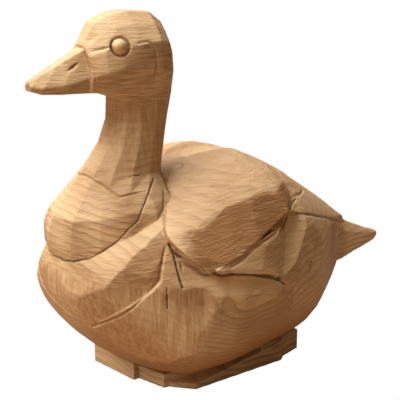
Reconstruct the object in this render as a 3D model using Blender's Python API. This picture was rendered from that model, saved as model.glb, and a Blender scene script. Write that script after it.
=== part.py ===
"""A sitting goose, carved with knife and V-tool from one block of wood.

All sizes are in millimetres, +Z is up, the goose faces -Y and its left side is +X.
The finished mesh is written in metres, with the middle of its footprint at the origin.
"""

from math import cos, hypot, pi, radians, sin

import bmesh
import bpy
import numpy as np
from mathutils import Matrix, Vector
from mathutils.bvhtree import BVHTree
from mathutils.kdtree import KDTree

MM = 0.001

# Overall size of the finished carving in millimetres: the drawing below is fitted to it.
OVERALL_WIDTH = 151.2
OVERALL_LENGTH = 285.6
OVERALL_HEIGHT = 219.0

# The body's lines from breast to rump: place along Y, half width, underside, back.
BODY_LINES = (
    (-75, 6, 61, 66),
    (-70, 36, 50, 82),
    (-60, 56, 35, 97),
    (-45, 67, 20, 110),
    (-25, 73, 9, 123),
    (0, 76, 7, 133),
    (30, 74, 9, 136),
    (60, 67, 12, 124),
    (90, 49, 20, 108),
    (120, 29, 34, 91),
    (145, 14, 47, 75),
    (163, 5, 54, 64),
)
BODY_AROUND = 48
BODY_BETWEEN = 3
WAIST = 0.47
FULLNESS = 2.3

# Flat knife cuts. Each one faces a direction (turned from straight ahead towards the goose's left,
# then lifted, in degrees) and lies this far from the origin.
BREAST_CUTS = (
    (0, 16, 89.5),
    (10, 22, 96.6),
    (22, 35, 108.6),
    (38, 45, 114.7),
    (22, -22, 42.5),
    (42, -4, 64.5),
    (60, 8, 75.5),
)
# Outline of the breast shield, seen on the left side; it is the same on the right.
SHIELD_OUTLINE = (
    (129, -54, -58),
    (109, -45, -34.5),
    (120, -11, -0.5),
    (128, 3, 11),
    (129, 8, 20.5),
)
# Cuts that are made on both sides: belly and flank, rump, wings, coverts, tail feathers.
NEAR_BELLY_CUTS = (
    (22, -22, 43.3),
    (42, -4, 66),
    (56, 4, 75),
    (50, 16, 88),
    (64, -2, 70.2),
)
FLANK_CUTS = (
    (62, 24, 93),
    (76, 28, 95.7),
    (82, 30, 98),
    (74, -6, 65.5),
    (84, -8, 63.5),
    (94, -6, 68.4),
    (106, 8, 88.5),
    (124, 0, 88.5),
)
WING_CUTS = (
    (36, 50, 117.5),
    (53, 42, 115),
    (68, 34, 109),
    (76, 33, 109),
    (90, 31, 109.5),
    (60, 8, 83),
    (118, 34, 119),
)
WING_OUTLINE = (
    (-52, -8, -20),
    (-12, -30, -21),
    (5, -47, -34),
    (126, -62, -55),
    (155, -48, -37.5),
    (122, -47, -28.5),
    (-90, 0, -6),
)
COVERT_CUTS = (
    (84, 18, 95.5),
    (96, 12, 89.4),
)
COVERT_OUTLINE = (
    (39, -69, -53),
    (24, -75, -66),
    (180, -16, -7),
    (-54, 62, 56),
    (0, 0, 32),
    (-90, 0, -20),
)
TAIL_FEATHER_CUTS = (
    (128, 38, 122),
    (142, 36, 122),
)
TAIL_FEATHER_OUTLINE = (
    (78, -59, -60.5),
    (92, -59, -52),
)
TAIL_FEATHERS_FROM = 30

# The hollow along the back behind the neck: centre and half sizes of a long ball.
SHIELD_LOW = (-90, -95, 20)
SHIELD_HIGH = (90, 20, 150)
HOLLOW_CENTRE = (0, 25, 164)
HOLLOW_SIZE = (26, 82, 34)


def direction(turn, lift):
    """Unit vector turned from straight ahead towards the left side, and lifted, in degrees."""
    t = radians(turn)
    e = radians(lift)
    return Vector((sin(t) * cos(e), -cos(t) * cos(e), sin(e)))


def body_points():
    """Points of the smooth body: superellipses through half width, underside and back."""
    lines = np.array(BODY_LINES, dtype=float)
    ends = np.vstack([2 * lines[0] - lines[1], lines, 2 * lines[-1] - lines[-2]])
    stations = []
    for p0, p1, p2, p3 in zip(ends, ends[1:], ends[2:], ends[3:]):
        for t in np.arange(BODY_BETWEEN) / BODY_BETWEEN:
            bend = (2 * p0 - 5 * p1 + 4 * p2 - p3) * t**2
            turn = (3 * p1 - p0 - 3 * p2 + p3) * t**3
            stations.append((2 * p1 + (p2 - p0) * t + bend + turn) / 2)
    stations.append(lines[-1])
    angle = np.radians(np.arange(BODY_AROUND) * 360 / BODY_AROUND)
    side = np.sign(np.cos(angle)) * np.abs(np.cos(angle)) ** (2 / FULLNESS)
    rise = np.sign(np.sin(angle)) * np.abs(np.sin(angle)) ** (2 / FULLNESS)
    rings = []
    for y, half_width, low, high in stations:
        middle = low + WAIST * (high - low)
        z = middle + np.where(rise > 0, high - middle, middle - low) * rise
        rings.append(np.stack([half_width * side, np.full_like(z, y), z], axis=1))
    return np.concatenate(rings)


def box_points(low, high):
    return [(x, y, z) for x in (low[0], high[0]) for y in (low[1], high[1]) for z in (low[2], high[2])]


def hull(points):
    """Smallest convex solid around the points, its flat areas in one piece."""
    bm = bmesh.new()
    for point in points:
        bm.verts.new(point)
    bmesh.ops.convex_hull(bm, input=bm.verts)
    inner = [v for v in bm.verts if not v.link_faces]
    bmesh.ops.delete(bm, geom=inner, context="VERTS")
    bmesh.ops.dissolve_degenerate(bm, dist=0.05, edges=bm.edges)
    bmesh.ops.dissolve_limit(bm, angle_limit=radians(0.3), verts=bm.verts, edges=bm.edges)
    bmesh.ops.recalc_face_normals(bm, faces=bm.faces)
    return bm


def shaved(points, cuts, side=1):
    """Convex solid around the points, with everything cut away that lies beyond each plane."""
    bm = hull(points)
    for turn, lift, reach in cuts:
        out = direction(turn * side, lift)
        everything = bm.verts[:] + bm.edges[:] + bm.faces[:]
        bmesh.ops.bisect_plane(
            bm, geom=everything, dist=0.02, plane_co=out * reach, plane_no=out, clear_outer=True
        )
        rim = [e for e in bm.edges if e.is_boundary]
        if rim:
            bmesh.ops.contextual_create(bm, geom=rim)
        bmesh.ops.dissolve_degenerate(bm, dist=0.05, edges=bm.edges)
    bmesh.ops.triangulate(bm, faces=[f for f in bm.faces if len(f.verts) > 4])
    bmesh.ops.recalc_face_normals(bm, faces=bm.faces)
    return bm


def loft(rings):
    """Skin over rings of equally many points, closed at both ends."""
    bm = bmesh.new()
    rows = [[bm.verts.new(point) for point in ring] for ring in rings]
    for upper, lower in zip(rows, rows[1:]):
        for i in range(len(upper)):
            j = (i + 1) % len(upper)
            bm.faces.new((upper[i], upper[j], lower[j], lower[i]))
    bm.faces.new(rows[0])
    bm.faces.new(reversed(rows[-1]))
    bmesh.ops.recalc_face_normals(bm, faces=bm.faces)
    return bm


# The neck's rings from the throat down to the hem of the breast feathers:
# front point (Y, Z), back point (Y, Z), half width, and how far it leans to the right.
NECK_RINGS = (
    ((-30, 206), (-10, 208), 12, 0),
    ((-43, 186), (-5, 192), 16, 0),
    ((-44, 170), (-5, 174), 16.5, 0),
    ((-45, 158), (-8, 160), 16.5, 0),
    ((-50, 145), (-11, 146), 18, 0),
    ((-59, 133), (-14, 128), 20, 2),
    ((-74, 105), (-16, 125), 34, 10),
    ((-73.5, 93), (-17, 124), 38, 15),
    ((-72.3, 81), (-18, 122), 38.5, 16),
    ((-55, 70), (-18, 105), 28, 13),
)
NECK_EDGES = (16, 44, 71, 98, 126, 154)
HEAD_TURN = 10
HEAD_PIVOT = Vector((0, -22, 190))

# Sections of the head from the root of the beak to the back of the head: Y, then half width and
# height of the crown's edge, the brow, the cheek and the jaw, and the heights of crown and chin.
HEAD_SECTIONS = (
    (-61, (6.5, 200), (11.5, 195.5), (15.5, 185), (12, 177), 201.5, 175.5),
    (-54, (11, 207), (16.5, 200), (20, 187.5), (14, 176.5), 213.5, 175),
    (-45, (13, 211), (19.5, 201.5), (22, 189), (15, 175), 217.5, 172),
    (-35, (14, 212), (21, 202), (23, 189), (16, 174), 219, 170.5),
    (-21, (14, 211.5), (20.5, 203), (22, 187), (16, 173), 218, 170),
    (-12, (9, 207), (14, 201), (16, 186), (13, 173), 212, 170),
    (-6, (4, 198), (7, 194), (8, 184), (6, 176), 201, 174),
)
# Sections of the beak: Y, half width and height of its top edge, of its side and of its sole.
BEAK_SECTIONS = (
    (-54, (6, 202), (12, 187), (10, 176)),
    (-62, (5, 199), (11.5, 184), (10, 176)),
    (-76, (3.5, 192), (9.5, 181), (8, 176.2)),
    (-87, (2.5, 186.5), (7.5, 180), (6, 176.8)),
    (-92.5, (1.5, 183.5), (4, 181), (3, 178.5)),
)

TAIL_SECTIONS = (
    (125, 18, 40, 84),
    (150, 12, 40, 68),
    (165, 10, 42.5, 61.5),
    (183, 6.5, 44, 54.5),
    (190, 5, 45, 52.5),
    (193.5, 3, 47, 50.5),
)

# Ground plan and height of the plinth, and the blocks that are left standing as the toes.
PLINTH = ((-40, -29.5), (0, -31.5), (0.5, 74), (31, 79), (-40, 79))
PLINTH_HEIGHT = 13
REAR_BLOCK = ((-10, 40), (37, 40), (34.5, 62), (31, 79), (-10, 79))
TOE_BLOCK = ((-5, -27.5), (1, -27.5), (21, -26), (22, -21.5), (37, 56), (-5, 60))
TOE_BLOCK_HEIGHT = 8.5
OUTER_TOE = ((10, -22), (23, -22), (35.6, -13.7), (38.3, 56.2), (34.6, 62), (10, 62))
OUTER_TOE_TIP = 2.5
OUTER_TOE_HEEL = 13

# V-tool lines: the place of the axis they are seen from, and stops given as the turn around that
# axis and the height. They are cut on the left side, and most of them on the right side too.
GROOVE_DEPTH = 1.4
GROOVE_HALF_WIDTH = 0.9
SHIELD_LINE = ((2, 43), (9, 48), (18, 55), (24, 62), (29, 70), (33, 78), (34, 90), (35, 100), (32, 112), (29, 118))
V_LINE = ((36, 99), (38, 95), (40, 90), (42, 79))
WING_LINE = ((35, 101), (38, 95), (42, 91), (49, 84), (53, 82), (60, 81), (74, 78), (85, 72), (92, 67))
THIGH_LINE = ((92, 67), (95, 62), (96, 54), (94, 44))
COVERT_LINE = ((55, 84), (61, 85), (67, 88), (72, 92), (82, 95), (92, 99), (98, 102), (104, 107), (114, 110), (147, 107))
TAIL_LINE = ((101, 104), (109, 102), (123, 97), (145, 88), (165, 76))
BODY_AXIS = 20
COLLAR_LINE = ((-36, 127), (-12, 129), (2, 128), (15, 126), (26, 123), (37, 120), (46, 121), (58, 122), (70, 123))
COLLAR_AXIS = -30

# Lines on the sides of the head as Y and Z before it is turned.
BEAK_ROOT_LINE = ((-61.2, 199.8), (-61, 195), (-60.9, 190), (-60.2, 184.8), (-58.5, 178))
BROW_LINE = ((-61, 197.7), (-57.6, 199.4), (-52.3, 200.9), (-48, 201.2))
CHEEK_LINE = ((-41, 201.8), (-35, 202.7), (-29.5, 203.2), (-27, 201), (-25.9, 198), (-25.2, 190), (-26.1, 184), (-26.1, 177))
NOSTRIL_LINE = ((-73.5, 187.7), (-68.8, 190.6), (-63.9, 193.5))
EYE = (-46.2, 201.3)
SOCKET_RADIUS = 5.8
SOCKET_DEPTH = 2.8
EYE_RADIUS = 4.5
EYE_SINK = 3.1
EYE_AROUND = 20

WOOD_COLOR = (0.56, 0.34, 0.17, 1)
WOOD_ROUGHNESS = 0.62
SMOOTH_BELOW = 12


def neck_rings():
    angles = [-a for a in reversed(NECK_EDGES)] + list(NECK_EDGES)
    rings = []
    for front, back, half_width, lean in NECK_RINGS:
        front = Vector((0, *front))
        back = Vector((0, *back))
        centre = (front + back) / 2
        reach = (front - back) / 2
        ring = []
        for a in angles:
            across = Vector((half_width * sin(radians(a)) - lean * max(cos(radians(a)) + 0.5, 0) / 1.5, 0, 0))
            ring.append(centre + across + reach * cos(radians(a)))
        share = min(max((centre.z - 125) / 50, 0), 1)
        ring = [turned(p, share) for p in ring]
        rings.append(ring)
    return rings


def turned(point, share=1.0):
    """The head looks a little to the goose's right: turn a point about the neck."""
    turn = Matrix.Rotation(radians(-HEAD_TURN * share), 3, "Z")
    return HEAD_PIVOT + turn @ (Vector(point) - HEAD_PIVOT)


def head_rings():
    rings = []
    for y, crown_edge, brow, cheek, jaw, crown, chin in HEAD_SECTIONS:
        side = [(crown_edge[0] * 0.45, crown), crown_edge, brow, cheek, jaw, (jaw[0] * 0.5, chin)]
        ring = [Vector((x, y, z)) for x, z in side]
        ring += [Vector((-x, y, z)) for x, z in reversed(side)]
        rings.append([turned(p) for p in ring])
    return rings


def beak_rings():
    rings = []
    for y, top, side, sole in BEAK_SECTIONS:
        ring = [Vector((x, y, z)) for x, z in (top, side, sole)]
        ring += [Vector((-x, y, z)) for x, z in (sole, side, top)]
        rings.append([turned(p) for p in ring])
    return rings


def tail_rings():
    rings = []
    for y, half_width, low, high in TAIL_SECTIONS:
        corners = ((half_width * 0.6, high), (half_width, low + 0.7 * (high - low)), (half_width * 0.6, low))
        ring = [Vector((x, y, z)) for x, z in corners]
        ring += [Vector((-x, y, z)) for x, z in reversed(corners)]
        rings.append(ring)
    return rings


def block(outline, low, high):
    """Upright block over a ground plan."""
    rings = [[Vector((x, y, z)) for x, y in outline] for z in (low, high)]
    return loft(rings)


def to_object(bm, name):
    mesh = bpy.data.meshes.new(name)
    bm.to_mesh(mesh)
    bm.free()
    obj = bpy.data.objects.new(name, mesh)
    bpy.context.scene.collection.objects.link(obj)
    return obj


def combine(target, tool, operation):
    """Boolean of two closed solids; the tool is used up."""
    step = target.modifiers.new(operation.lower(), "BOOLEAN")
    step.operation = operation
    step.solver = "MANIFOLD"
    step.object = tool
    bpy.context.view_layer.update()
    graph = bpy.context.evaluated_depsgraph_get()
    result = bpy.data.meshes.new_from_object(target.evaluated_get(graph))
    target.modifiers.remove(step)
    old = target.data
    target.data = result
    bpy.data.meshes.remove(old)
    bpy.data.objects.remove(tool)


def both_sides(cuts):
    return list(cuts) + [(-turn, lift, reach) for turn, lift, reach in cuts]


def ball(centre, size, around=32):
    bm = bmesh.new()
    bmesh.ops.create_uvsphere(bm, u_segments=around, v_segments=around // 2, radius=1)
    bmesh.ops.transform(bm, matrix=Matrix.Diagonal((*size, 1)), verts=bm.verts)
    bmesh.ops.translate(bm, vec=Vector(centre), verts=bm.verts)
    return bm


def tilted_block(outline, front_height, back_height, front_y, back_y):
    """Upright block whose top rises from front to back."""
    slope = (back_height - front_height) / (back_y - front_y)
    low = [Vector((x, y, 0)) for x, y in outline]
    high = [Vector((x, y, front_height + slope * (y - front_y))) for x, y in outline]
    return loft([low, high])


def surface_tree(obj):
    """Search tree for the surface as it is now."""
    bm = bmesh.new()
    bm.from_mesh(obj.data)
    tree = BVHTree.FromBMesh(bm)
    bm.free()
    return tree


def around_axis(stops, axis_y, side):
    """Rays toward an upright axis, a few between one stop and the next."""
    rays = []
    for turn, high in finer(stops, 6):
        out = direction(turn * side, 0)
        rays.append((Vector((0, axis_y, high)) + out * 250, -out))
    return rays


def across_head(stops, side):
    """Rays square to the side of the turned head."""
    inward = turned(HEAD_PIVOT) - turned(HEAD_PIVOT + Vector((side, 0, 0)))
    return [(turned((side * 60, y, z)), inward) for y, z in finer(stops, 6)]


def finer(stops, step):
    path = []
    for a, b in zip(stops, stops[1:]):
        count = max(1, round(hypot(b[0] - a[0], b[1] - a[1]) / step))
        path += [(a[0] + (b[0] - a[0]) * k / count, a[1] + (b[1] - a[1]) * k / count) for k in range(count)]
    return path + [stops[-1]]


def v_line(tree, rays, depth=GROOVE_DEPTH, half_width=GROOVE_HALF_WIDTH):
    """Three-sided bar that follows the surface where the rays meet it, thin at both ends."""
    places = []
    for start, inward in rays:
        spot, normal, index, distance = tree.ray_cast(start, inward)
        if spot:
            places.append((spot, (normal - inward * 0.5).normalized()))
    rings = []
    rise = 1.5
    for i, (spot, normal) in enumerate(places):
        before = places[max(i - 1, 0)][0]
        after = places[min(i + 1, len(places) - 1)][0]
        across = (after - before).cross(normal).normalized()
        share = 0.35 if i in (0, len(places) - 1) else 1
        wide = half_width * share * (1 + rise / depth)
        top = spot + normal * rise
        rings.append([top + across * wide, top - across * wide, spot - normal * depth * share])
    return loft(rings)


def disc(centre, normal, radius, low, high, around=24):
    """Short round bar that stands on the surface."""
    across = normal.orthogonal().normalized()
    up = normal.cross(across)
    rings = []
    for level in (low, high):
        middle = centre + normal * level
        turns = [2 * pi * k / around for k in range(around)]
        rings.append([middle + (across * cos(a) + up * sin(a)) * radius for a in turns])
    return loft(rings)


def wood():
    material = bpy.data.materials.new("carved_wood")
    material.use_nodes = True
    shader = material.node_tree.nodes["Principled BSDF"]
    shader.inputs["Base Color"].default_value = WOOD_COLOR
    shader.inputs["Roughness"].default_value = WOOD_ROUGHNESS
    shader.inputs["Metallic"].default_value = 0
    material.diffuse_color = WOOD_COLOR
    material.roughness = WOOD_ROUGHNESS
    return material


def drop_chips(obj):
    """Keep the block and let go of any chip that a V-tool line has cut loose."""
    bm = bmesh.new()
    bm.from_mesh(obj.data)
    left = set(bm.verts)
    pieces = []
    while left:
        piece, edge = set(), [left.pop()]
        while edge:
            vert = edge.pop()
            piece.add(vert)
            for link in vert.link_edges:
                other = link.other_vert(vert)
                if other in left:
                    left.discard(other)
                    edge.append(other)
        pieces.append(piece)
    pieces.sort(key=len)
    for piece in pieces[:-1]:
        bmesh.ops.delete(bm, geom=list(piece), context="VERTS")
    bm.to_mesh(obj.data)
    bm.free()


def part_corners(obj, reach, step):
    """Where two corners of the surface meet in one point, draw each back toward its own faces."""
    bm = bmesh.new()
    bm.from_mesh(obj.data)
    tree = KDTree(len(bm.verts))
    for vert in bm.verts:
        tree.insert(vert.co, vert.index)
    tree.balance()
    bm.verts.ensure_lookup_table()
    moves = {}
    for vert in bm.verts:
        linked = [edge.other_vert(vert) for edge in vert.link_edges]
        near = [bm.verts[index] for _, index, _ in tree.find_range(vert.co, reach) if index != vert.index]
        if any(other not in linked for other in near):
            middle = sum((other.co for other in linked), Vector()) / len(linked)
            moves[vert] = (middle - vert.co).normalized() * step
    for vert, move in moves.items():
        vert.co += move
    bm.to_mesh(obj.data)
    bm.free()


def main():
    for obj in list(bpy.data.objects):
        bpy.data.objects.remove(obj)
    form = body_points()
    goose = to_object(shaved(form * 0.9955, both_sides(FLANK_CUTS) + list(NEAR_BELLY_CUTS)), "goose")
    shield = shaved(box_points(SHIELD_LOW, SHIELD_HIGH), both_sides(SHIELD_OUTLINE))
    shield = to_object(shield, "shield")
    combine(shield, to_object(shaved(form * 0.996, BREAST_CUTS), "breast"), "DIFFERENCE")
    combine(goose, shield, "DIFFERENCE")
    feathers = both_sides(TAIL_FEATHER_CUTS + TAIL_FEATHER_OUTLINE) + [(0, 0, -TAIL_FEATHERS_FROM)]
    combine(goose, to_object(shaved(form * 0.9978, feathers), "tail_feathers"), "UNION")
    for side in (1, -1):
        covert = shaved(form * 0.9989, COVERT_CUTS + COVERT_OUTLINE, side)
        combine(goose, to_object(covert, "covert"), "UNION")
        wing = shaved(form, WING_CUTS + WING_OUTLINE, side)
        combine(goose, to_object(wing, "wing"), "UNION")
    combine(goose, to_object(ball(HOLLOW_CENTRE, HOLLOW_SIZE), "hollow"), "DIFFERENCE")
    combine(goose, to_object(loft(neck_rings()), "neck"), "UNION")
    combine(goose, to_object(loft(head_rings()), "head"), "UNION")
    combine(goose, to_object(loft(beak_rings()), "beak"), "UNION")
    combine(goose, to_object(loft(tail_rings()), "tail"), "UNION")
    combine(goose, to_object(block(PLINTH, 0, PLINTH_HEIGHT), "plinth"), "UNION")
    combine(goose, to_object(block(REAR_BLOCK, 0, PLINTH_HEIGHT), "rear_block"), "UNION")
    combine(goose, to_object(block(TOE_BLOCK, 0, TOE_BLOCK_HEIGHT), "toe_block"), "UNION")
    reach = [y for x, y in OUTER_TOE]
    toe = tilted_block(OUTER_TOE, OUTER_TOE_TIP, OUTER_TOE_HEEL, min(reach), max(reach))
    combine(goose, to_object(toe, "outer_toe"), "UNION")
    tree = surface_tree(goose)
    for side in (1, -1):
        for line in (SHIELD_LINE, V_LINE, WING_LINE, THIGH_LINE, COVERT_LINE, TAIL_LINE):
            combine(goose, to_object(v_line(tree, around_axis(line, BODY_AXIS, side)), "line"), "DIFFERENCE")
        for line in (BEAK_ROOT_LINE, BROW_LINE, CHEEK_LINE):
            groove = v_line(tree, across_head(line, side), 0.9, 0.8)
            combine(goose, to_object(groove, "head_line"), "DIFFERENCE")
        nostril = v_line(tree, across_head(NOSTRIL_LINE, side), 2.2, 1.1)
        combine(goose, to_object(nostril, "nostril"), "DIFFERENCE")
        start, inward = across_head((EYE, EYE), side)[0]
        spot, normal, index, distance = tree.ray_cast(start, inward)
        socket = disc(spot, normal, SOCKET_RADIUS, -SOCKET_DEPTH, 8)
        combine(goose, to_object(socket, "socket"), "DIFFERENCE")
        eye = ball(spot - normal * EYE_SINK, (EYE_RADIUS,) * 3, EYE_AROUND)
        combine(goose, to_object(eye, "eye"), "UNION")
    collar = v_line(tree, around_axis(COLLAR_LINE, COLLAR_AXIS, 1), 1.1, 1.0)
    combine(goose, to_object(collar, "collar"), "DIFFERENCE")
    drop_chips(goose)
    part_corners(goose, 0.003, 0.03)
    low, high = Vector(goose.bound_box[0]), Vector(goose.bound_box[6])
    shift = Vector((-(low.x + high.x) / 2, -(low.y + high.y) / 2, -low.z))
    overall = Vector((OVERALL_WIDTH, OVERALL_LENGTH, OVERALL_HEIGHT))
    fit = Matrix.Diagonal((*(full / drawn * MM for full, drawn in zip(overall, high - low)), 1))
    goose.data.transform(fit @ Matrix.Translation(shift))
    bpy.context.scene["model_shift"] = list(shift)
    goose.data.materials.append(wood())
    goose.data.shade_smooth()
    goose.data.set_sharp_from_angle(angle=radians(SMOOTH_BELOW))
    figure = bpy.data.collections.new("goose_figurine")
    bpy.context.scene.collection.children.link(figure)
    for collection in list(goose.users_collection):
        collection.objects.unlink(goose)
    figure.objects.link(goose)


if __name__ == "__main__":
    main()
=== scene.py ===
"""Carved wooden goose: knife-cut surface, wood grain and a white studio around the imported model."""
from math import cos, radians, sin

import bmesh
import bpy
import numpy as np
from bpy.props import FloatProperty, FloatVectorProperty, IntProperty, PointerProperty
from mathutils import Matrix, Vector


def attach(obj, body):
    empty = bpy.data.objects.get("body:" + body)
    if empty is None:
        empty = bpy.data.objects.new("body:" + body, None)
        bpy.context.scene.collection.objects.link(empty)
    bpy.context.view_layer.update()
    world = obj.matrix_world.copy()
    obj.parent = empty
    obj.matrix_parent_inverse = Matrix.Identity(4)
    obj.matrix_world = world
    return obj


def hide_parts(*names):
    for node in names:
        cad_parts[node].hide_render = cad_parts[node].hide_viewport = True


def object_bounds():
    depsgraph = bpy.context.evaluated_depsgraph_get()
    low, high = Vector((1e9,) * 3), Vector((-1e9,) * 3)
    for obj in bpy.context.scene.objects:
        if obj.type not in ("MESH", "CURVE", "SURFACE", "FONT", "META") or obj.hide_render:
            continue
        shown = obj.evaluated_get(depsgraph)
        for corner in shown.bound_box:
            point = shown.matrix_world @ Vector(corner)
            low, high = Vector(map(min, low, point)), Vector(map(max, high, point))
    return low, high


bl_info = {
    "name": "Carved Goose",
    "version": (1, 0, 0),
    "blender": (4, 5, 0),
    "location": "View3D > Sidebar > Carved Goose",
    "description": "Knife-cut wooden goose figurine and its white studio",
    "category": "Add Mesh",
}

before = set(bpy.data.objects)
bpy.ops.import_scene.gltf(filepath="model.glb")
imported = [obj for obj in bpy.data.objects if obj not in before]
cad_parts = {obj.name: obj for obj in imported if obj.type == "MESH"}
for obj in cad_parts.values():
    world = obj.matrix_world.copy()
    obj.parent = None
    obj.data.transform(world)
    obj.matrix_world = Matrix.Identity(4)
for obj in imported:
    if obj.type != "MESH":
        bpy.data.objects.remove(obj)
CAD_BOX = [list(corner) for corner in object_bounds()]

MM = 0.001

# Camera of the picture: angles round the figure, distance and aim in metres, and lens and film width in mm.
CAMERA_TURN = 47
CAMERA_LIFT = 14
CAMERA_DISTANCE = 0.66
CAMERA_AIM = (0.02432, -0.0507, 0.110)
CAMERA_LENS = 102.87
FILM_WIDTH = 36

# Directions: level to the right of the picture, level towards the camera, and up.
RIGHT = Vector((cos(radians(CAMERA_TURN)), sin(radians(CAMERA_TURN)), 0))
AHEAD = Vector((sin(radians(CAMERA_TURN)), -cos(radians(CAMERA_TURN)), 0))
UP = Vector((0, 0, 1))

# Where each lamp stands and where the room is brightest, as shares of right, ahead and up, then the lamps'
# distance and width in metres and their watts at strength 1.
SIDE_LAMP = (-0.64, 0.3, 0.71)
TOP_LAMP = (-0.26, -0.22, 0.94)
BRIGHT_ROOM = (-0.7, 1, 0.3)
LAMP_DISTANCE = 1.8
LAMP_WIDTH = 1.3
LAMP_WATTS = 20

# The floor reaches this far each way and lies this far under the figure, in metres. Its colour is the light
# that it throws back.
FLOOR_REACH = 3
FLOOR_DROP = 0.0002
FLOOR_BOUNCE = (0.45, 0.35, 0.24)

# Lines that a knife leaves in the wood: half width, depth and how far round them the wood is rubbed smooth
# first, then the points that they pass, all in mm. The goose looks along -Y and its near side is +X. Each
# point is moved to the nearest place on the surface. Only the foot of the wing is cut straight in from the
# front quarter, through the points as they stand.
STRAIGHT_IN = "wing foot"
CUTS = {
    "beak root": (0.45, 0.5, 0, ((-1, -112, 198), (3, -113, 191), (5, -113, 188), (7, -113, 184),
                                 (7, -113, 181))),
    "bib hem": (0.6, 0.8, 0, ((-25, -122, 83), (-15, -121, 79), (-3, -120, 82), (8, -118, 85), (16, -114, 91),
                              (22, -109, 97), (27, -106, 104), (29, -102, 107), (29, -98, 114),
                              (26, -90, 123), (22, -83, 128))),
    "wing front": (0.5, 0.7, 0, ((27, -81, 121), (32, -86, 114), (39, -92, 106), (44, -94, 100))),
    STRAIGHT_IN: (0.9, 1.1, 2, ((45, -93, 96), (47, -92, 92), (50, -89, 89), (58, -89, 87), (62, -85, 84),
                                (66, -82, 81), (64, -71, 78), (66, -63, 78), (72, -54, 76), (73, -41, 73),
                                (74, -36, 71), (74, -31, 67))),
    "wing edge": (0.45, 0.5, 2, ((63, -22, 95), (69, -33, 96), (70, -40, 95), (71, -53, 91), (71, -64, 86),
                                 (71, -72, 84), (64, -71, 79))),
    "wing tip": (0.7, 0.9, 2, ((57, -4, 109), (64, -17, 106), (61, -15, 102), (62, -19, 98), (63, -22, 95))),
    "covert edge": (0.35, 0.3, 0, ((63, -21, 95), (67, -25, 87), (74, -34, 73))),
    "neck cut": (0.8, 1.2, 1, ((47, -92, 93), (49, -92, 87), (53, -93, 80), (56, -93, 74))),
    "rump line": (0.35, 0.4, 0, ((54, 17, 93), (64, 7, 86), (67, 2, 75), (70, -5, 68))),
    "rump slot": (1.2, 2.6, 0, ((69, -3, 73), (70, -5, 70), (71, -7, 68))),
    "tail ridge": (0.7, 0.6, 1, ((62, -16, 103), (62, -6, 101), (60, 5, 98), (45, 36, 88), (8, 100, 66))),
    "tail root": (1.2, 0.6, 0, ((13, 92, 64), (13, 89, 60), (13, 88, 56))),
    "thigh split": (0.45, 0.9, 0, ((51, -100, 74), (51, -100, 62))),
    "thigh check": (0.8, 1.2, 0, ((51, -100, 70), (51, -100, 67))),
    "thigh cut": (0.6, 0.25, 0, ((61, -83, 72), (63, -84, 57))),
    "thigh nick": (0.35, 0.4, 0, ((73, -60, 64), (74, -50, 65), (74, -43, 63))),
    "thigh curl": (0.35, 0.25, 0, ((75, -33, 64), (72, -23, 53), (70, -20, 45))),
    "belly split": (0.4, 0.5, 0, ((70, -60, 46), (71, -56, 46))),
    "collar nick": (0.5, 0.5, 0, ((17, -97, 130), (19, -91, 130))),
    "knot": (0.5, 0.5, 0, ((11, -58, 131), (13, -55, 131), (16, -56, 131), (18, -59, 130))),
}

# The wing and the thigh lie further out than this, and the foot of the wing ends here along the body, in mm.
FLANK = 40
WING_FOOT_END = -20

# Thigh: height of the foot of the wing and of the crisp edge below it, along the body, in mm.
WING_FOOT = ((-93, -90, -85, -82, -71, -63, -54, -41, -36, -31, -24),
             (95, 89, 84, 81, 78, 78, 76, 73, 71, 67, 62))
THIGH_EDGE = ((-103, -99, -93, -87, -83, -80, -78, -75, -68, -59, -52, -45, -35, -24),
              (75, 76, 73, 73.5, 73, 72, 70, 68, 68, 67, 66, 63, 60, 55))

# How far the thigh leans in above its edge, drops below it, and each flat there is set back, in mm.
THIGH_LEAN = 1.1
THIGH_DROP = 0.9
THIGH_FLATS = ((-103, -93, -92.5, -84.5, -83.5, -79, -75, -74.5, -60, -45, -30),
               (0, 0, 0.1, 1.3, 1.3, 0.2, 0, 0.4, 0.8, 1.0, 0))

# Ridge of the wing and the lower edge of the flats under it that get painted shade, along the body, in mm.
WING_RIDGE = ((-92, -87, -84, -76, -69, -61, -48, -41, -32, -23, -15, -6),
              (98, 103, 104, 104.5, 108.5, 113.5, 115.5, 117, 118, 116, 118.5, 119))
WING_LOW = ((-92, -84, -72, -64, -53, -40, -33, -22, -6), (94, 85, 84, 86, 91, 95, 96, 95, 112))

# Places that wear has rubbed smooth: centre and radius in mm.
WORN = ((61, -16, 101, 7), (63, -22, 93, 8), (50, -3, 115, 12), (64, -29, 96, 8), (0, 142, 62, 30),
        (9, 106, 66, 8))

# Spots painted paler than around them (below 0, painted light) or darker (above 0, painted shade): centre and
# radius in mm, then how much.
LIGHT_AND_SHADE_SPOTS = ((12, -107, 196, 9, -0.5), (3, -125, 188, 8, -0.45), (15, -116, 100, 12, -0.75),
          (24, -104, 115, 8, 0.5), (32, -96, 107, 9, -0.55), (70, -61, 72, 13, -0.7), (72, -47, 69, 10, -0.6),
          (67, -72, 44, 16, -0.3), (42, -52, 125, 28, 0.25), (11, 108, 57, 16, -0.6), (32, -52, 5, 24, -0.8))

# How the knife strays from a flat facet: size of the waves in metres, seed and share of each.
STRAY = ((0.016, 3, 0.7), (0.006, 4, 0.3))

# Rounds of averaging that rub a worn place, find a tool line's dent, and then find a wide hollow.
RUB_ROUNDS = 40
DENT_ROUNDS = 10
HOLLOW_ROUNDS = 45

# Growth rings: the heart of the tree seen along the body, as x and z, and where the rings swell over the
# thigh, as centre and reach along the body, centre and reach up, and height, all in mm.
HEART = (-25, -170)
THIGH_SWELL = (-58, 34, 55, 15, 16)

# What the material reads from the surface, each from 0 to 1 except shade: painted light on flats that look
# up, warmer wood with painted shade on down-facing flats low on the body, painted shade in hollows, painted
# highlight on lips, painted shade under the wing ridge, painted light and shade in spots, and painted shade
# in knife lines.
MARKS = ("top", "low", "hollow", "lip", "hatch", "shade", "split")


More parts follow.
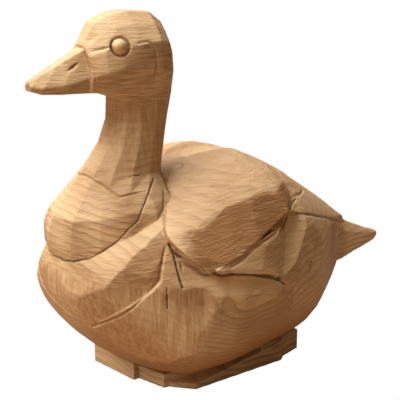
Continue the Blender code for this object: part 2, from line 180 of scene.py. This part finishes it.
class GooseSizes(bpy.types.PropertyGroup):
    voxel: FloatProperty(name="Voxel", description="Size of the cells that rebuild the carved surface",
                         default=0.00045, min=0.0003, max=0.003, unit="LENGTH")
    triangles: IntProperty(name="Triangles", description="Most triangles in the finished surface",
                           default=190000, min=10000, max=199000)
    wobble: FloatProperty(name="Wobble", description="How far the knife strays from a flat facet",
                          default=0.0002, min=0, max=0.002, unit="LENGTH")
    ring_gap: FloatProperty(name="Ring gap", description="Distance between growth rings",
                            default=0.0042, min=0.001, max=0.02, unit="LENGTH")


class GooseColours(bpy.types.PropertyGroup):
    # Pale wood, also the painted light on flats that look up and in the pale spots.
    cream_wood_and_light: FloatVectorProperty(name="Pale wood", description="Palest wood on the upper flats",
                               subtype="COLOR", default=(0.76, 0.515, 0.285), min=0, max=1)
    # Darker wood, also the painted shade on flats that don't look up, under the wing ridge and in the dark
    # spots.
    honey_wood_and_shade: FloatVectorProperty(name="Honey wood", description="Darker wood that hands and tools burnished",
                               subtype="COLOR", default=(0.37, 0.18, 0.064), min=0, max=1)
    late: FloatVectorProperty(name="Ring", description="Dark line of a growth ring", subtype="COLOR",
                              default=(0.25, 0.107, 0.036), min=0, max=1)
    # Warm wood low on the belly, also painted shade on the flats there that look down.
    amber_wood_and_shade: FloatVectorProperty(name="Low wood", description="Warmer wood low on the belly", subtype="COLOR",
                               default=(0.41, 0.16, 0.038), min=0, max=1)
    # Painted shade in hollows and in knife lines.
    hollow_and_line_shade: FloatVectorProperty(name="Cut", description="Wood burnished dark in tool lines", subtype="COLOR",
                               default=(0.16, 0.072, 0.026), min=0, max=1)
    # Painted highlight on the sharp lips of cuts.
    lip_highlight: FloatVectorProperty(name="Fresh lip", description="Wood at the sharp lip of a cut", subtype="COLOR",
                              default=(0.84, 0.62, 0.38), min=0, max=1)


class StageSettings(bpy.types.PropertyGroup):
    side: FloatProperty(name="Side light", description="Strength of the large light on the camera's left",
                        default=1.5, min=0, max=20)
    top: FloatProperty(name="Top light", description="Strength of the large light above and behind",
                       default=1.65, min=0, max=20)
    front: FloatProperty(name="Front light", description="Strength of the light from where the camera stands",
                         default=0.2, min=0, max=20)
    room: FloatProperty(name="Room light", description="Strength of the warm light from all sides",
                        default=0.15, min=0, max=5)
    glow: FloatVectorProperty(name="Room colour", description="Colour of the light from all sides",
                              subtype="COLOR", default=(1.0, 0.72, 0.48), min=0, max=1)


class Value:
    """A shader socket that takes part in plain arithmetic."""

    def __init__(self, tree, socket):
        self.tree, self.socket = tree, socket

    def calc(self, kind, *others, clamp=False):
        """Add a Math node of this kind that takes this value first."""
        node = self.tree.nodes.new("ShaderNodeMath")
        node.operation = kind
        node.use_clamp = clamp
        for slot, item in zip(node.inputs, (self,) + others):
            if isinstance(item, Value):
                self.tree.links.new(item.socket, slot)
            else:
                slot.default_value = item
        return Value(self.tree, node.outputs[0])

    def __add__(self, other):
        return self.calc("ADD", other)

    __radd__ = __add__

    def __sub__(self, other):
        return self.calc("SUBTRACT", other)

    def __rsub__(self, other):
        return self.calc("MULTIPLY_ADD", -1, other)

    def __mul__(self, other):
        return self.calc("MULTIPLY", other)

    __rmul__ = __mul__

    def __truediv__(self, other):
        return self.calc("DIVIDE", other)

    def __pow__(self, other):
        return self.calc("POWER", other)

    def clamp(self):
        """This value held between 0 and 1."""
        return self.calc("ADD", 0, clamp=True)


class Tree:
    """Lays out a node tree: one method adds any node, with its settings first and its sockets after."""

    def __init__(self, tree):
        self.tree = tree

    def node(self, kind, settings=(), sockets=(), out=0):
        """Add a node, set it up, fill or link its sockets and give back one output."""
        node = self.tree.nodes.new(kind)
        for name, value in dict(settings).items():
            setattr(node, name, value)
        for slot, item in dict(sockets).items():
            if isinstance(item, Value):
                item = item.socket
            if isinstance(item, bpy.types.NodeSocket):
                self.tree.links.new(item, node.inputs[slot])
            else:
                node.inputs[slot].default_value = item
        return node.outputs[out]

    def value(self, *parts, **named):
        """A new node's output as a Value."""
        return Value(self.tree, self.node(*parts, **named))

    def feed(self, socket, item):
        """Link a Value or a socket to an input."""
        self.tree.links.new(item.socket if isinstance(item, Value) else item, socket)

    def vector(self, x, y, z):
        """Three values as one vector."""
        return self.node("ShaderNodeCombineXYZ", sockets={0: x, 1: y, 2: z})

    def step(self, value, low, high):
        """0 below low, 1 above high, smooth between."""
        return self.value("ShaderNodeMapRange", {"interpolation_type": "SMOOTHSTEP"},
                          {"Value": value, "From Min": low, "From Max": high})

    def noise(self, where, scale=1.0, detail=2.0, rough=0.5):
        """Smooth noise about 0.5."""
        return self.value("ShaderNodeTexNoise", sockets={"Vector": where, "Scale": scale, "Detail": detail,
                                                         "Roughness": rough})

    def mix(self, share, a, b):
        """Colour a where share is 0 and b where it is 1."""
        a, b = ((*c, 1) if not isinstance(c, bpy.types.NodeSocket) else c for c in (a, b))
        return self.node("ShaderNodeMix", {"data_type": "RGBA"}, {0: share, 6: a, 7: b}, out=2)


def plain_mesh(obj):
    """Vertices, edges and vertex normals of an object as arrays."""
    mesh = obj.data
    points = np.empty(len(mesh.vertices) * 3)
    mesh.vertices.foreach_get("co", points)
    edges = np.empty(len(mesh.edges) * 2, int)
    mesh.edges.foreach_get("vertices", edges)
    normals = np.empty(len(mesh.vertices) * 3)
    mesh.vertex_normals.foreach_get("vector", normals)
    return points.reshape(-1, 3), edges.reshape(-1, 2), normals.reshape(-1, 3)


def spread(values, edges, rounds):
    """Average each vertex with its neighbours, over and over."""
    count = np.bincount(edges.ravel(), minlength=len(values)).astype(float)
    result = values.reshape((len(values), -1)).astype(float)
    for _ in range(rounds):
        total = np.empty_like(result)
        for k in range(result.shape[1]):
            column = result[:, k]
            total[:, k] = np.bincount(edges[:, 0], column[edges[:, 1]], len(values))
            total[:, k] += np.bincount(edges[:, 1], column[edges[:, 0]], len(values))
        result = 0.5 * result + 0.5 * total / count[:, None]
    return result.reshape(values.shape)


def ramp(values, low, high):
    """0 at low, 1 at high, even between them and flat beyond; high may be the smaller one."""
    return np.clip((values - low) / (high - low), 0, 1)


def folded(points):
    """Points in mm with the far half of the figure folded over onto the near one."""
    points = points / MM
    points[:, 0] = np.abs(points[:, 0])
    return points


def smooth_noise(points, size, seed, waves=9):
    """Smooth noise from -1 to 1: the mean of sine waves of about one size, each along its own way."""
    draw = np.random.default_rng(seed)
    total = np.zeros(len(points))
    for _ in range(waves):
        way = draw.normal(size=3)
        way /= np.linalg.norm(way)
        length = size * draw.uniform(0.7, 1.6)
        total += np.sin(points @ way * 2 * np.pi / length + draw.uniform(0, 6.28))
    return total / waves


def off_line(points, line, reach):
    """Distance from every point to a polyline, the shortest over its segments, or reach where it is more."""
    gap = np.full(len(points), reach)
    around = np.flatnonzero(np.all((points > line.min(0) - reach) & (points < line.max(0) + reach), 1))
    inside = points[around]
    found = gap[around]
    for a, b in zip(line[:-1], line[1:]):
        low, high = np.minimum(a, b) - reach, np.maximum(a, b) + reach
        near = np.flatnonzero(np.all((inside > low) & (inside < high), 1))
        part = inside[near] - a
        way = b - a
        share = np.clip(part @ way / max(way @ way, 1e-12), 0, 1)
        found[near] = np.minimum(found[near], np.linalg.norm(part - share[:, None] * way, axis=1))
    gap[around] = found
    return gap


def laid_on(points, corners, gap=0.0015, reach=0.006):
    """Polyline through the corners in short steps, each step on the nearest vertex, then evened out."""
    line = [corners[0]]
    for a, b in zip(corners[:-1], corners[1:]):
        count = max(1, round(np.linalg.norm(b - a) / gap))
        line += [a + (b - a) * k / count for k in range(1, count + 1)]
    line = np.array(line)
    near = points[off_line(points, line, reach) < reach]
    away = ((near[None] - line[:, None]) ** 2).sum(2)
    line = near[away.argmin(1)]
    line[1:-1] = (line[:-2] + 2 * line[1:-1] + line[2:]) / 4
    return line


def seen_from_front(points):
    """Points moved level along the line of sight from the front quarter onto one upright plane."""
    sight = np.array(AHEAD)
    return points - (points @ sight)[:, None] * sight


def apply_modifiers(obj):
    """Give an object the mesh that its modifiers make, and take them off."""
    bpy.context.view_layer.update()
    graph = bpy.context.evaluated_depsgraph_get()
    mesh = bpy.data.meshes.new_from_object(obj.evaluated_get(graph))
    old = obj.data
    obj.modifiers.clear()
    obj.data = mesh
    bpy.data.meshes.remove(old)


def store(mesh, name, values):
    """Write one number for each vertex, for the material to read."""
    layer = mesh.attributes.new(name, "FLOAT", "POINT")
    layer.data.foreach_set("value", values.astype(np.float32))


def growth_rings(wood, x, y, z, drift, ring_gap):
    """Darkness of the late wood, from 0 to 1.

    Rings are counted outwards from the heart, far below the body, so that they look like layers. The count
    wanders with the drift and swells over the thigh, and its fraction rises slowly and drops at once."""
    heart_x, heart_z = HEART
    along, along_reach, height, height_reach, swell = THIGH_SWELL
    ripple = wood.noise(wood.vector(x, y * 0.35, z), 0.09, 3) - 0.5
    depth = ((x - heart_x) ** 2 + (z - heart_z) ** 2) ** 0.5
    off_thigh = ((y - along) / along_reach) ** 2 + ((z - height) / height_reach) ** 2
    thigh = off_thigh.calc("MULTIPLY", -1).calc("EXPONENT") * swell
    count = (depth + thigh + drift * 15 + ripple * 1.6 + y * 0.05) / (ring_gap / MM)
    saw = count.calc("FRACT")
    return (saw ** 2.5) * (1 - wood.step(saw, 0.88, 1.0))


def knife_strokes(wood, place, front, neck):
    """Fine lines of the knife, from 0 to 1: noise drawn out along the stroke.

    The strokes run level or slantwise from place to place, upright on the front of the breast, along the
    grain on the neck and level on the head."""
    x, y, z = (wood.value("ShaderNodeSeparateXYZ", sockets={0: place}, out=k) for k in range(3))
    grain = wood.noise(wood.vector(x, y, z * 0.06), 0.55, 3, 0.65)
    level = wood.noise(wood.vector(x * 0.08, y * 0.08, z * 1.1), 1.0, 3, 0.6)
    slant = wood.noise(wood.vector(x * 0.1, z - y * 0.22, (y + z * 0.22) * 0.09), 1.0, 3, 0.6)
    upright = wood.noise(wood.vector(x * 0.4, y * 0.4, z * 0.04), 1.0, 4, 0.65)
    choice = wood.step(wood.noise(place, 0.045, 1), 0.46, 0.54)
    head = wood.step(z, 166, 172)
    knife = level * (1 - choice) + slant * choice
    knife = knife * (1 - front) + upright * front
    return knife * (1 - neck * 0.7) + (grain * (1 - head) + level * head) * (neck * 0.7)


def wood_material(colours, ring_gap):
    """Carved wood: pale and dark tones with painted light on flats that look up and painted shade under the
    wing ridge, growth rings, warm low wood with painted shade on flats that look down, painted shade in
    hollows and tool lines, and painted highlights on sharp lips.
    """
    material = bpy.data.materials.new("carved_wood")
    material.use_nodes = True
    shader = material.node_tree.nodes["Principled BSDF"]
    wood = Tree(material.node_tree)
    place = wood.node("ShaderNodeTexCoord", out="Object")
    x, y, z = (wood.value("ShaderNodeSeparateXYZ", sockets={0: place}, out=k) / MM for k in range(3))
    place = wood.vector(x, y, z)
    top, low, hollow, lip, hatch, shade, split = (
        wood.value("ShaderNodeAttribute", {"attribute_name": name}, out="Fac") for name in MARKS)

    # Parts of the figure by their place, in mm.
    neck = wood.step(z, 123, 147)
    front = wood.step(0 - y, 78, 86) * (1 - wood.step(z, 70, 78))
    belly = wood.step(78 - z, 0, 26) * (1 - front * 0.6)
    # Painted light: paler at the tail's tip and at the foot.
    tail_and_foot = wood.step(y, 96, 106) + wood.step(12 - z, 0, 4)

    drift = wood.noise(place, 0.022, 2) - 0.5
    grit = wood.noise(wood.vector(x * 0.9, y * 0.9, z * 0.9), 1.0, 1, 0.5) - 0.5
    strength = wood.step(wood.noise(place, 0.03, 2), 0.3, 0.7)
    ring = growth_rings(wood, x, y, z, drift, ring_gap)
    strokes = (knife_strokes(wood, place, front, neck) - 0.5) * (1 - belly * 0.6) * (1.25 - top * 0.6)

    # Tone from pale to dark: painted light on flats that look up, at the tail's tip and the foot and in the
    # pale spots, painted shade under the wing ridge and in the dark spots, then the wood's own strokes, drift
    # and grit.
    tone = 0.7 + shade - top * 0.54 + hatch * 0.34 - tail_and_foot * 0.4
    tone = tone + strokes * 1.5 + drift * 1.1 + grit * 0.16
    colour = wood.mix(tone.clamp(), colours.cream_wood_and_light, colours.honey_wood_and_shade)
    rings = ring * (0.22 + 0.5 * strength + 0.25 * belly) * (1 - neck * 0.5 - top * 0.35 - front * 0.5)
    colour = wood.mix(rings.clamp(), colour, colours.late)
    # Warm wood and painted shade on flats that look down, low on the body.
    colour = wood.mix((low * (0.45 + ring * 0.5)).clamp(), colour, colours.amber_wood_and_shade)
    # Painted shade in hollows, painted highlight on sharp lips, then painted shade in knife lines.
    colour = wood.mix((hollow * (0.85 + strokes)).clamp(), colour, colours.hollow_and_line_shade)
    colour = wood.mix((lip * 0.22).clamp(), colour, colours.lip_highlight)
    colour = wood.mix((split * 0.92).clamp(), colour, colours.hollow_and_line_shade)
    wood.feed(shader.inputs["Base Color"], colour)
    wood.feed(shader.inputs["Roughness"], (0.6 + strokes * 0.3).clamp())
    shader.inputs["Specular IOR Level"].default_value = 0.35
    relief = strokes * 1.1 + ring * 0.1 + grit * 0.18
    bump = wood.node("ShaderNodeBump", sockets={"Strength": 0.75, "Distance": 0.0009, "Height": relief})
    wood.feed(shader.inputs["Normal"], bump)
    return material


class GOOSE_OT_body(bpy.types.Operator):
    """Rebuild the carved block as one dense knife-cut surface"""
    bl_idname = "goose.body"
    bl_label = "Goose"

    def execute(self, context):
        sizes = context.scene.goose_sizes
        goose = self.block(context.scene)
        cells = goose.modifiers.new("cells", "REMESH")
        cells.mode = "VOXEL"
        cells.voxel_size = sizes.voxel
        apply_modifiers(goose)
        points, edges, normals = plain_mesh(goose)
        points = spread(points, edges, 1)
        lines = {name: (half, deep, rub, laid_on(points, np.array(corners) * MM))
                 for name, (half, deep, rub, corners) in CUTS.items()}
        points = self.wear(points, edges, lines)
        lines = {name: (*knife, laid_on(points, line)) for name, (*knife, line) in lines.items()}
        cut, split = self.cut(points, lines)
        stray = sum(smooth_noise(points, size, seed) * share for size, seed, share in STRAY)
        off_floor = ramp(points[:, 2], 0.001, 0.005)
        points += normals * ((stray * sizes.wobble - cut) * off_floor)[:, None]
        self.place(goose, points)
        self.mark(goose, split)
        thin = goose.modifiers.new("thin", "DECIMATE")
        thin.ratio = min(1, sizes.triangles / (2 * len(goose.data.polygons)))
        apply_modifiers(goose)
        self.place(goose, plain_mesh(goose)[0])
        goose.data.materials.clear()
        goose.data.materials.append(wood_material(context.scene.goose_colours, sizes.ring_gap))
        goose.data.shade_smooth()
        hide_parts("goose")
        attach(goose, "root")
        return {"FINISHED"}

    def block(self, scene):
        """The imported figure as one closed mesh, with its place in the mesh."""
        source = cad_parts["goose"]
        mesh = source.data.copy()
        mesh.transform(source.matrix_world)
        goose = bpy.data.objects.new("carved_goose", mesh)
        scene.collection.objects.link(goose)
        bm = bmesh.new()
        bm.from_mesh(mesh)
        bmesh.ops.remove_doubles(bm, verts=bm.verts, dist=0.01 * MM)
        bm.to_mesh(mesh)
        bm.free()
        return goose

    def place(self, goose, points):
        """Move the vertices to the points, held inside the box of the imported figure."""
        goose.data.vertices.foreach_set("co", np.clip(points, *CAD_BOX).ravel())
        goose.data.update()

    def wear(self, points, edges, lines):
        """Rub the worn places and along some lines: there the surface goes over to its own average."""
        share = np.zeros(len(points))
        near_half = folded(points)
        for *centre, radius in WORN:
            away = np.linalg.norm(near_half - centre, axis=1)
            share = np.maximum(share, ramp(away, radius, radius / 2))
        for _, _, rub, line in lines.values():
            if rub:
                gap = off_line(points, line, 2 * rub * MM) / MM
                share = np.maximum(share, ramp(gap, 2 * rub, rub))
        return points + (spread(points, edges, RUB_ROUNDS) - points) * share[:, None]

    def cut(self, points, lines):
        """How deep each point is cut, in metres, and how far it lies in a knife line, from 0 to 1, which sets
        the painted shade in the line.

        A line is a V: its depth falls evenly to nothing at its half width."""
        near_half = folded(points)
        depth = np.zeros(len(points))
        split = np.zeros(len(points))
        for name, (half, deep, _, line) in lines.items():
            if name == STRAIGHT_IN:
                gap = self.off_wing_foot(near_half, 2 * half)
            else:
                gap = off_line(points, line, 2 * half * MM) / MM
            bed = ramp(gap, half, 0)
            depth = np.maximum(depth, bed * deep)
            split = np.maximum(split, np.clip(1.3 * bed, 0, 1) * min(1, deep))
        return (depth + self.set_back(*near_half.T)) * MM, split

    def off_wing_foot(self, near_half, reach):
        """Distance in mm from the foot of the wing as the front quarter sees it, or reach elsewhere."""
        line = np.array(CUTS[STRAIGHT_IN][-1], float)
        gap = off_line(seen_from_front(near_half), seen_from_front(line), reach)
        x, y, _ = near_half.T
        return np.where((x > FLANK) & (y < WING_FOOT_END), gap, reach)

    def set_back(self, x, y, z):
        """How far the thigh is carved back, in mm.

        Above its edge it leans in evenly to the foot of the wing. Below the edge lie its flats, which run out
        further down. Both fade towards the breast and the rump."""
        foot, edge = np.interp(y, *WING_FOOT), np.interp(y, *THIGH_EDGE)
        lean = THIGH_LEAN * ramp(z, edge, foot) * ramp(z, foot + 2, foot - 1)
        lean *= ramp(y, -94, -88) * ramp(y, -26, -34)
        flat = np.interp(y, *THIGH_FLATS) * ramp(z, edge, edge - 3) + THIGH_DROP * ramp(z, edge, edge - 10)
        flat *= ramp(z, edge - 24, edge - 10)
        flat *= ramp(y, -103, -98) * ramp(y, -24, -32)
        return (lean + flat) * ramp(x, FLANK, FLANK + 5)

    def mark(self, goose, split):
        """Write what the material reads: painted light where the surface looks up, warmer wood and painted
        shade where it looks down low on the body, painted shade in hollows, painted highlights on sharp lips,
        painted shade on the flats under the wing ridge, painted light and shade in the spots, and painted
        shade in knife lines."""
        points, edges, normals = plain_mesh(goose)
        near_half = folded(points)
        x, y, z = near_half.T
        tilt = normals[:, 2]
        near = spread(points, edges, DENT_ROUNDS)
        dent = np.einsum("ij,ij->i", near - points, normals) / MM
        wide = np.einsum("ij,ij->i", spread(near, edges, HOLLOW_ROUNDS) - points, normals) / MM
        # Warmer wood and painted shade on flats that look down, low on the body.
        low = np.clip(0.35 - tilt, 0, 1) * ramp(z, 75, 25) * ramp(z, 12, 18)
        # Painted light on flats that look up.
        top = ramp(tilt, 0.1, 0.55)
        low, top = spread(np.stack((low, top), 1), edges, 5).T
        # Painted shade on the flats under the wing ridge.
        ridge, under = np.interp(y, *WING_RIDGE), np.interp(y, *WING_LOW)
        hatch = ramp(z, ridge, ridge - 1) * ramp(z, under, under + 1) * (x > 35)
        hatch *= ramp(y, -92, -91) * ramp(y, -4, -10) * np.interp(y, (-87, -85.5), (0.5, 1))
        # Painted light and shade in the listed spots.
        shade = np.zeros(len(points))
        for *centre, radius, amount in LIGHT_AND_SHADE_SPOTS:
            away = np.linalg.norm(near_half - centre, axis=1) / radius
            shade += amount * np.exp(-away ** 2)
        marks = {
            "top": top * (1 - hatch),
            "low": low,
            # Painted shade in small dents and wide hollows.
            "hollow": np.maximum(np.clip((dent - 0.08) / 0.3, 0, 0.7), np.clip((wide - 0.35) / 1.6, 0, 0.6)),
            # Painted highlight on sharp lips.
            "lip": ramp(-dent, 0.05, 0.25),
            "hatch": hatch,
            "shade": shade,
            "split": split,
        }
        for name in MARKS:
            store(goose.data, name, marks[name])


class GOOSE_OT_stage(bpy.types.Operator):
    """Set up the white floor, the soft lights and the camera"""
    bl_idname = "goose.stage"
    bl_label = "Studio"

    def execute(self, context):
        settings = context.scene.goose_stage
        scene = context.scene
        scene.view_settings.view_transform = "Standard"
        floor = self.floor(scene)
        lamps = [self.lamp(scene, "side_light", SIDE_LAMP, settings.side),
                 self.lamp(scene, "top_light", TOP_LAMP, settings.top)]
        self.room(scene, settings)
        self.camera(scene)
        return {"FINISHED"}

    def floor(self, scene):
        """A wide flat sheet just under the figure."""
        corners = [(x * FLOOR_REACH, y * FLOOR_REACH, -FLOOR_DROP)
                   for x, y in ((-1, -1), (1, -1), (1, 1), (-1, 1))]
        mesh = bpy.data.meshes.new("floor")
        mesh.from_pydata(corners, [], [(0, 1, 2, 3)])
        mesh.materials.append(self.white())
        floor = bpy.data.objects.new("floor", mesh)
        scene.collection.objects.link(floor)
        return floor

    def camera(self, scene):
        """The camera of the picture, upright and looking at its aim."""
        lift = radians(CAMERA_LIFT)
        back = AHEAD * cos(lift) + UP * sin(lift)
        lens = bpy.data.cameras.new("camera")
        lens.sensor_width = FILM_WIDTH
        lens.lens = CAMERA_LENS
        camera = bpy.data.objects.new("camera", lens)
        scene.collection.objects.link(camera)
        axes = Matrix((RIGHT, back.cross(RIGHT), back)).transposed().to_4x4()
        camera.matrix_world = Matrix.Translation(Vector(CAMERA_AIM) + back * CAMERA_DISTANCE) @ axes
        scene.camera = camera

    def lamp(self, scene, name, shares, strength):
        """A large round lamp that looks at the camera's aim."""
        light = bpy.data.lights.new(name, "AREA")
        light.shape = "DISK"
        light.size = LAMP_WIDTH
        light.energy = strength * LAMP_WATTS
        lamp = bpy.data.objects.new(name, light)
        way = self.way(shares)
        lamp.location = Vector(CAMERA_AIM) + way * LAMP_DISTANCE
        lamp.rotation_euler = way.to_track_quat("Z", "Y").to_euler()
        scene.collection.objects.link(lamp)
        return lamp

    def way(self, shares):
        """The direction with these shares of right, ahead and up."""
        right, ahead, up = shares
        return (RIGHT * right + AHEAD * ahead + UP * up).normalized()

    def white(self):
        """White to the camera, plain matt board to the light that falls on it."""
        material = bpy.data.materials.new("white_floor")
        material.use_nodes = True
        board = Tree(material.node_tree)
        shader = material.node_tree.nodes["Principled BSDF"]
        shader.inputs["Base Color"].default_value = (*FLOOR_BOUNCE, 1)
        shader.inputs["Roughness"].default_value = 0.9
        seen = board.node("ShaderNodeLightPath", out="Is Camera Ray")
        glow = board.node("ShaderNodeEmission")
        mixed = board.node("ShaderNodeMixShader", sockets={0: seen, 1: shader.outputs[0], 2: glow})
        board.feed(material.node_tree.nodes["Material Output"].inputs["Surface"], mixed)
        return material

    def room(self, scene, settings):
        """White to the camera; to the figure a warm room that is brighter where the camera stands."""
        world = bpy.data.worlds.new("room")
        world.use_nodes = True
        scene.world = world
        sky = Tree(world.node_tree)
        look = sky.node("ShaderNodeTexCoord", out="Generated")
        facing = sky.value("ShaderNodeVectorMath", {"operation": "DOT_PRODUCT"},
                           {0: look, 1: self.way(BRIGHT_ROOM)}, out="Value")
        bright = sky.step(facing, 0.1, 1.0) * settings.front + settings.room
        seen = sky.value("ShaderNodeLightPath", out="Is Camera Ray")
        light = [bright * tint * (1 - seen) + seen for tint in settings.glow]
        sky.feed(world.node_tree.nodes["Background"].inputs["Color"], sky.vector(*light))


class GOOSE_PT_panel(bpy.types.Panel):
    """Lists the pieces and their settings"""
    bl_idname = "GOOSE_PT_panel"
    bl_label = "Carved Goose"
    bl_space_type = "VIEW_3D"
    bl_region_type = "UI"
    bl_category = "Carved Goose"

    def draw(self, context):
        for group in (context.scene.goose_sizes, context.scene.goose_colours, context.scene.goose_stage):
            for name in group.__annotations__:
                self.layout.prop(group, name)
        self.layout.operator("goose.body")
        self.layout.operator("goose.stage")


CLASSES = (GooseSizes, GooseColours, StageSettings, GOOSE_OT_body, GOOSE_OT_stage, GOOSE_PT_panel)


def register():
    for item in CLASSES:
        bpy.utils.register_class(item)
    bpy.types.Scene.goose_sizes = PointerProperty(type=GooseSizes)
    bpy.types.Scene.goose_colours = PointerProperty(type=GooseColours)
    bpy.types.Scene.goose_stage = PointerProperty(type=StageSettings)


def unregister():
    del bpy.types.Scene.goose_sizes
    del bpy.types.Scene.goose_colours
    del bpy.types.Scene.goose_stage
    for item in reversed(CLASSES):
        bpy.utils.unregister_class(item)


def main():
    register()
    bpy.ops.goose.body()
    bpy.ops.goose.stage()


if __name__ == "__main__":
    main()
